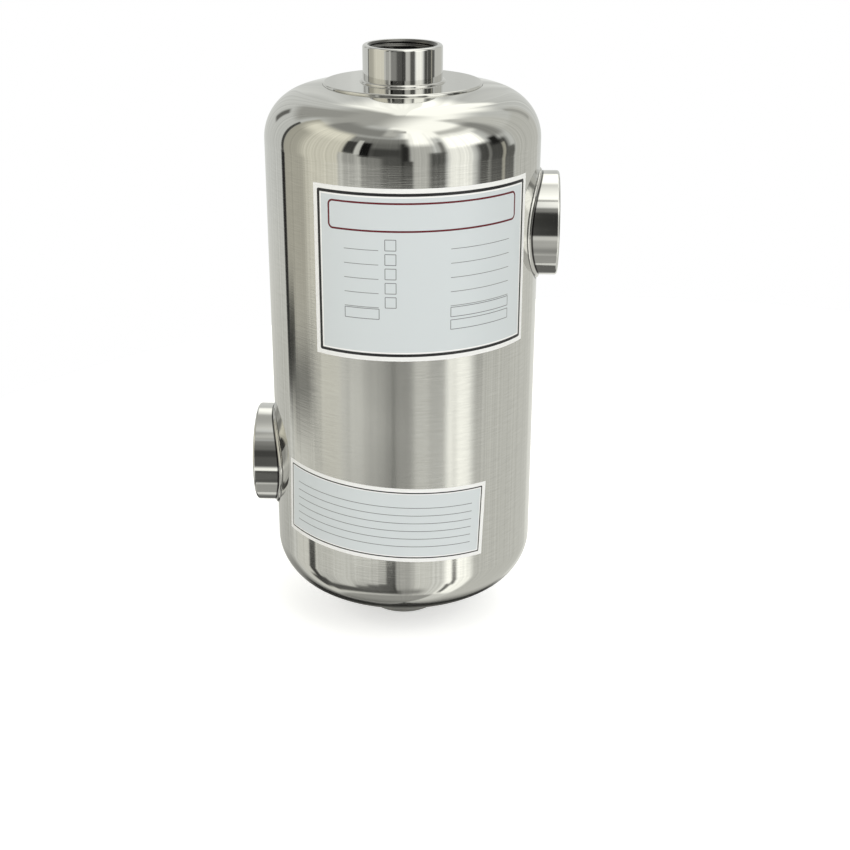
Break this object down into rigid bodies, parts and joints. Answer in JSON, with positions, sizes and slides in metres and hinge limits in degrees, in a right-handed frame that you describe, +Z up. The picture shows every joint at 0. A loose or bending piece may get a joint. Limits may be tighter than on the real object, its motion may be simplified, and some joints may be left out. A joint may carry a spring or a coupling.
{
  "type": "shell and tube heat exchanger",
  "caption": "Upright stainless steel shell and tube heat exchanger with dished heads, a threaded socket on each end and a threaded side port high on one side and low on the other.",
  "frame": {"origin": "middle of the bottom socket's rim, on the axis of the vessel", "axes": "+Z up the axis of the vessel, +X towards the upper side port, -Y towards the labelled front"},
  "size_m": [0.16, 0.14, 0.3109],
  "materials": {
    "brushed_shell": "bright stainless steel with a fine brushed grain round the barrel",
    "polished_head": "satin polished stainless steel",
    "turned_socket": "turned and mirror polished stainless steel",
    "weld_bead": "ground and polished weld",
    "bundle_steel": "plain mill finish stainless steel",
    "label_film": "printed silver film with a white edge, on the front of the barrel"
  },
  "bodies": {
    "root": {"barrel": "brushed_shell", "top_head": "polished_head", "bottom_head": "polished_head", "top_end_disc": "polished_head", "bottom_end_disc": "polished_head", "top_socket": "turned_socket", "bottom_socket": "turned_socket", "top_socket_weld": "weld_bead", "bottom_socket_weld": "weld_bead", "upper_port": "turned_socket", "lower_port": "turned_socket", "upper_port_weld": "weld_bead", "lower_port_weld": "weld_bead", "top_tube_sheet": "bundle_steel", "bottom_tube_sheet": "bundle_steel", "lower_baffle": "bundle_steel", "middle_baffle": "bundle_steel", "upper_baffle": "bundle_steel", "tube_row_1": "bundle_steel", "tube_row_2": "bundle_steel", "tube_row_3": "bundle_steel", "tube_row_4": "bundle_steel", "tube_row_5": "bundle_steel", "tube_row_6": "bundle_steel", "tube_row_7": "bundle_steel"}
  },
  "joints": []
}
